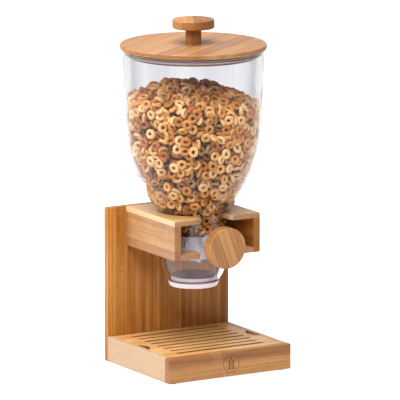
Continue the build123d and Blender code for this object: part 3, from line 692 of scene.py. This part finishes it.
def settle(centres, turns, keep_in):
    """Relaxes the rings until they hardly overlap, each one rigid and inside its space."""
    template, radii = ball_template()
    points = centres[:, None] + np.einsum("nab,kb->nka", turns, template)
    for step in range(SETTLE_STEPS):
        if step % PAIRS_EVERY == 0:
            firsts, seconds = near_pairs(points.mean(1))
        push_apart(points, radii, firsts, seconds)
        for ball, radius in enumerate(radii):
            keep_in(points[:, ball:ball + 1], radius)
        turns, centres, points = rigid_again(points, template)
    return centres, turns


def random_turns(chance, outward):
    """A random turn for each ring. About half face outward, as rings that lie against a wall do."""
    turns = []
    for facing in outward:
        loose = Euler(chance.uniform(-math.pi, math.pi, 3)).to_matrix()
        if chance.random() < FACING_SHARE:
            tilt = Euler(chance.normal(0, FACING_SPREAD, 3)).to_matrix()
            loose = tilt @ Vector(facing).to_track_quat("Z", "Y").to_matrix()
        turns.append(np.array(loose))
    return np.array(turns)


def hopper_rings():
    """Rings for the layer that shows: against the wall, across the top and down the neck."""
    chance = np.random.default_rng(FILL_SEED)
    widest = wall_radii.max()
    low, high = liner_top_z, FILL_CENTRE_Z
    spots = chance.uniform((-widest, -widest, low), (widest, widest, high), (SPOTS_TRIED, 3))
    x, y, z = spots.T
    away = np.hypot(x, y)
    inside = (away < wall_radius(z) - TUBE_RADIUS) & (z < fill_height(x, y) - TUBE_RADIUS)
    shell = (away > wall_radius(z) - SHELL_DEPTH) | (z > fill_height(x, y) - SHELL_DEPTH)
    beyond_wheel = np.abs(y) > vane_half_length + TUBE_RADIUS
    clear = beyond_wheel | (np.hypot(x, z - axle_z) > vane_radius + 2 * TUBE_RADIUS)
    good = spots[inside & (shell | (wall_radius(z) < SHELL_DEPTH + RING_REACH)) & clear]
    volume = len(good) / SPOTS_TRIED * (2 * widest) ** 2 * (high - low)
    centres = good[: int(volume / SPACE_PER_RING)]
    outward = centres * (1, 1, 0) + (0, 0, NEAR_AXIS)
    top = centres[:, 2] > fill_height(centres[:, 0], centres[:, 1]) - RING_REACH
    outward[top] = chance.normal(0, 1, (top.sum(), 3))
    rise = STRAY_RISE * chance.random(len(centres)) ** 2
    return settle(centres, random_turns(chance, outward), push_inside(rise))


def wheel_rings():
    """Rings in the upper gaps of the paddle wheel, which turn with it."""
    chance = np.random.default_rng(WHEEL_SEED)
    first_vane = math.radians(180 - VANE_TURN)
    gaps = [first_vane - HALF_GAP - n * 2 * math.pi / VANES for n in range(VANES // 2)]
    centres, sectors = [], []
    for gap in gaps:
        for y in np.linspace(-WHEEL_ROW_END, WHEEL_ROW_END, WHEEL_ROWS):
            for reach in WHEEL_RING_REACHES:
                centres.append((reach * math.cos(gap), y, axle_z + reach * math.sin(gap)))
                sectors.append(gap)
    to_the_end = np.tile((0, 1, 0.2), (len(centres), 1))
    turns = random_turns(chance, to_the_end)
    return settle(np.array(centres), turns, push_in_wheel(np.array(sectors)))


def ring_surface(chance):
    """Points and faces of one puffed ring: an uneven torus, a little flattened."""
    lumps = chance.normal(0, RING_UNEVENNESS, (3, 2))
    big = np.arange(RING_SIDES) * 2 * math.pi / RING_SIDES
    small = np.arange(TUBE_SIDES) * 2 * math.pi / TUBE_SIDES
    a, b = np.meshgrid(big, small, indexing="ij")
    swell = 1 + sum(k * np.cos((n + 1) * a + m * 9) for n, (k, m) in enumerate(lumps))
    thick = TUBE_RADIUS * swell
    out = RING_RADIUS * (1 + lumps[0, 1] * np.cos(2 * a)) + thick * np.cos(b)
    points = np.stack([out * np.cos(a), out * np.sin(a), thick * RING_FLATNESS * np.sin(b)], -1)
    i, j = np.meshgrid(np.arange(RING_SIDES), np.arange(TUBE_SIDES), indexing="ij")
    i2, j2 = (i + 1) % RING_SIDES, (j + 1) % TUBE_SIDES
    corners = [i * TUBE_SIDES + j, i2 * TUBE_SIDES + j, i2 * TUBE_SIDES + j2, i * TUBE_SIDES + j2]
    return points.reshape(-1, 3), np.stack(corners, -1).reshape(-1, 4)


def new_piece(name, points, faces, material, body, smooth=True):
    """A mesh piece that rides on a body."""
    mesh = bpy.data.meshes.new(name)
    mesh.from_pydata(points, [], faces)
    mesh.materials.append(material)
    mesh.polygons.foreach_set("use_smooth", [smooth] * len(mesh.polygons))
    mesh.update()
    piece = bpy.data.objects.new(name, mesh)
    bpy.context.scene.collection.objects.link(piece)
    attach(piece, body)


def ring_piece(name, centres, turns, material, body, seed):
    """One piece that holds these rings."""
    chance = np.random.default_rng(seed)
    points, faces, start = [], [], 0
    for centre, turn in zip(centres, turns):
        own, own_faces = ring_surface(chance)
        points.append(own @ turn.T + centre)
        faces.append(own_faces + start)
        start += len(own)
    new_piece(name, np.vstack(points).tolist(), np.vstack(faces).tolist(), material, body)


def cereal_core():
    """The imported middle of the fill, a lumpy turned shape just behind the rings that show."""
    chance = np.random.default_rng(CORE_SEED)
    floor_z = hopper_low.z + CORE_FLOOR
    middle = 0.5 * wall_radii[-1]
    points = []
    for height in np.linspace(0, 1, CORE_STEPS):
        for angle in np.arange(CORE_SIDES) * 2 * math.pi / CORE_SIDES:
            lump = chance.uniform(-CORE_LUMPS, CORE_LUMPS) * MM
            top = fill_height(middle * math.cos(angle), middle * math.sin(angle)) - SHELL_DEPTH
            z = floor_z + (top - floor_z) * height
            radius = wall_radius(z) - SHELL_DEPTH + lump
            points.append((radius * math.cos(angle), radius * math.sin(angle), z + lump))
    faces = []
    last = (CORE_STEPS - 1) * CORE_SIDES
    for low in range(0, last, CORE_SIDES):
        high = low + CORE_SIDES
        for k in range(CORE_SIDES):
            after = (k + 1) % CORE_SIDES
            faces.append((low + k, low + after, high + after, high + k))
    bottom, top = len(points), len(points) + 1
    points += [(0, 0, floor_z), (0, 0, FILL_CENTRE_Z - SHELL_DEPTH)]
    for k in range(CORE_SIDES):
        after = (k + 1) % CORE_SIDES
        faces.append((after, k, bottom))
        faces.append((last + k, last + after, top))
    new_piece("cereal_core", points, faces, cereal_shadow(), "canister", smooth=False)


def is_deep(centres):
    """Which rings lie behind the first layer that shows."""
    x, y, z = centres.T
    return np.minimum(wall_radius(z) - np.hypot(x, y), fill_height(x, y) - z) > DEEP


def fill_hopper():
    """All the cereal: the rings that show, darker ones behind them, the core, and those in the wheel.
    The rings are divided by height into pieces of a moderate size."""
    bright = toasted_cereal("toasted_cereal", 1.0)
    dim = toasted_cereal("deep_cereal", 0.5)
    centres, turns = hopper_rings()
    upwards = np.argsort(centres[:, 2])
    deep = is_deep(centres)[upwards]
    groups = (("cereal_rings", upwards[~deep], bright, RING_SHAPE_SEED),
              ("cereal_deep_rings", upwards[deep], dim, DEEP_SHAPE_SEED))
    for name, rings, look, seed in groups:
        for number, layer in enumerate(np.array_split(rings, LAYERS)):
            ring_piece(f"{name}_{number}", centres[layer], turns[layer], look, "canister", seed + number)
    cereal_core()
    ring_piece("cereal_in_wheel", *wheel_rings(), bright, "dial", WHEEL_SHAPE_SEED)


fill_hopper()

# ---------------------------------------------------------------- the mark on the front of the base

MARK_CENTRE = Vector((1.4 * MM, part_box("base_front_rail")[0].y, 17.6 * MM))
MARK_RADIUS = 11.5 * MM
MARK_LINE = 0.7 * MM
MARK_PROUD = 0.08 * MM
GRAIN_PAIRS = 4
GRAIN_STEP = 3.1 * MM
GRAIN_LENGTH = 1.5 * GRAIN_STEP
GRAIN_WIDTH = 0.62 * GRAIN_STEP
GRAIN_OUT = 0.85 * GRAIN_STEP
GRAIN_LEAN = 38
TIP_GAP = 0.1
STEM_LENGTH = 1.3 * MARK_RADIUS
STEM_DROP = 0.2 * MARK_RADIUS
PETAL_SIDES = 16
PETAL_POINTEDNESS = 0.4
MARK_SIDES = 72


def grain_mark():
    """A plain ear of grain in a ring: a stem with pairs of leaning kernels and one at the tip."""
    points, faces = [], []

    def petal(x, z, length, width, lean):
        """A flat leaf shape, pointed at both ends."""
        start = len(points)
        turn = Matrix.Rotation(math.radians(lean), 3, "Y")
        for k in range(PETAL_SIDES):
            angle = 2 * math.pi * k / PETAL_SIDES
            narrow = 1 - PETAL_POINTEDNESS * abs(math.cos(angle))
            spot = turn @ Vector((width / 2 * math.sin(angle) * narrow, 0, length / 2 * math.cos(angle)))
            points.append(MARK_CENTRE + Vector((x, -MARK_PROUD, z)) + spot)
        faces.append([start + k for k in range(PETAL_SIDES)])

    def ring():
        """The flat ring round the ear."""
        start = len(points)
        for k in range(MARK_SIDES):
            angle = 2 * math.pi * k / MARK_SIDES
            for reach in (MARK_RADIUS, MARK_RADIUS - MARK_LINE):
                spot = Vector((reach * math.cos(angle), -MARK_PROUD, reach * math.sin(angle)))
                points.append(MARK_CENTRE + spot)
        for k in range(MARK_SIDES):
            near = start + 2 * k
            far = start + 2 * ((k + 1) % MARK_SIDES)
            faces.append([near, far, far + 1, near + 1])

    ring()
    for pair in range(GRAIN_PAIRS):
        z = GRAIN_STEP * (pair - GRAIN_PAIRS / 2)
        for side in (-1, 1):
            petal(side * GRAIN_OUT, z, GRAIN_LENGTH, GRAIN_WIDTH, side * GRAIN_LEAN)
    petal(0, GRAIN_STEP * (GRAIN_PAIRS / 2 + TIP_GAP), GRAIN_LENGTH, GRAIN_WIDTH, 0)
    petal(0, -STEM_DROP, STEM_LENGTH, MARK_LINE, 0)
    new_piece("grain_mark", points, faces, scorched_mark(), "stand", smooth=False)


grain_mark()

# ---------------------------------------------------------------- studio

FLOOR_RADIUS = 14.0
WORLD_FRONT = 0.12
WORLD_BACK = 0.7
WORLD_AWAY = 0.8
WORLD_UP = 0.6
WORLD_FADE = (-0.2, 0.9)
LAMP_AIM = Vector((0, 0, 0.15))
CAMERA_AIM = Vector((0.0094, 0, 0.2068))
CAMERA_TURN = math.radians(-30.69)
CAMERA_RISE = math.radians(11.056)
CAMERA_DISTANCE = 6.97
CAMERA_LENS = 506.9


def studio_sweep():
    """A floor disc round the object, well past the edge of the view."""
    mesh = bpy.data.meshes.new("floor")
    shape = bmesh.new()
    bmesh.ops.create_circle(shape, cap_ends=True, segments=96, radius=FLOOR_RADIUS)
    shape.to_mesh(mesh)
    shape.free()
    mesh.materials.append(studio_floor())
    floor = bpy.data.objects.new("floor", mesh)
    bpy.context.scene.collection.objects.link(floor)


def soft_box(name, place, side, power):
    """A large soft square light that faces a point on the object's axis."""
    light = bpy.data.lights.new(name, "AREA")
    light.shape = "SQUARE"
    light.size = side
    light.energy = power
    lamp = bpy.data.objects.new(name, light)
    lamp.location = place
    lamp.rotation_mode = "QUATERNION"
    lamp.rotation_quaternion = (Vector(place) - LAMP_AIM).to_track_quat("Z", "Y")
    bpy.context.scene.collection.objects.link(lamp)


def studio_world():
    """Plain white light from all round, brighter from above and behind the object than from the front."""
    world = bpy.data.worlds.new("studio")
    bpy.context.scene.world = world
    world.use_nodes = True
    nodes, links = world.node_tree.nodes, world.node_tree.links
    direction = nodes.new("ShaderNodeTexCoord").outputs["Generated"]
    facing = nodes.new("ShaderNodeVectorMath")
    facing.operation = "DOT_PRODUCT"
    facing.inputs[1].default_value = (-WORLD_AWAY * math.sin(CAMERA_TURN),
                                      WORLD_AWAY * math.cos(CAMERA_TURN), WORLD_UP)
    links.new(direction, facing.inputs[0])
    level = nodes.new("ShaderNodeMapRange")
    level.interpolation_type = "SMOOTHSTEP"
    level.inputs["From Min"].default_value = WORLD_FADE[0]
    level.inputs["From Max"].default_value = WORLD_FADE[1]
    level.inputs["To Min"].default_value = WORLD_FRONT
    level.inputs["To Max"].default_value = WORLD_BACK
    links.new(facing.outputs["Value"], level.inputs["Value"])
    background = nodes["Background"]
    background.inputs["Color"].default_value = (1, 1, 1, 1)
    links.new(level.outputs["Result"], background.inputs["Strength"])


def make_camera():
    """A long lens, turned round the object and raised a little."""
    camera = bpy.data.objects.new("camera", bpy.data.cameras.new("camera"))
    bpy.context.scene.collection.objects.link(camera)
    back = Vector((math.sin(CAMERA_TURN) * math.cos(CAMERA_RISE),
                   -math.cos(CAMERA_TURN) * math.cos(CAMERA_RISE), math.sin(CAMERA_RISE)))
    camera.location = CAMERA_AIM + back * CAMERA_DISTANCE
    camera.rotation_mode = "QUATERNION"
    camera.rotation_quaternion = (-back).to_track_quat("-Z", "Y")
    camera.data.lens = CAMERA_LENS
    camera.data.clip_end = 50
    bpy.context.scene.camera = camera


studio_sweep()
studio_world()
soft_box("front", (-0.9, -1.55, 1.5), 0.6, 23)
soft_box("left", (-1.6, 0.54, 1.25), 0.9, 25)
soft_box("top", (-0.9, -0.7, 3.9), 2.6, 190)
make_camera()

# Light crosses several clear walls on its way to the cereal and back.
scene = bpy.context.scene
scene.view_settings.view_transform = "Standard"
scene.cycles.max_bounces = 20
scene.cycles.transmission_bounces = 16
scene.cycles.transparent_max_bounces = 16
scene.cycles.glossy_bounces = 6
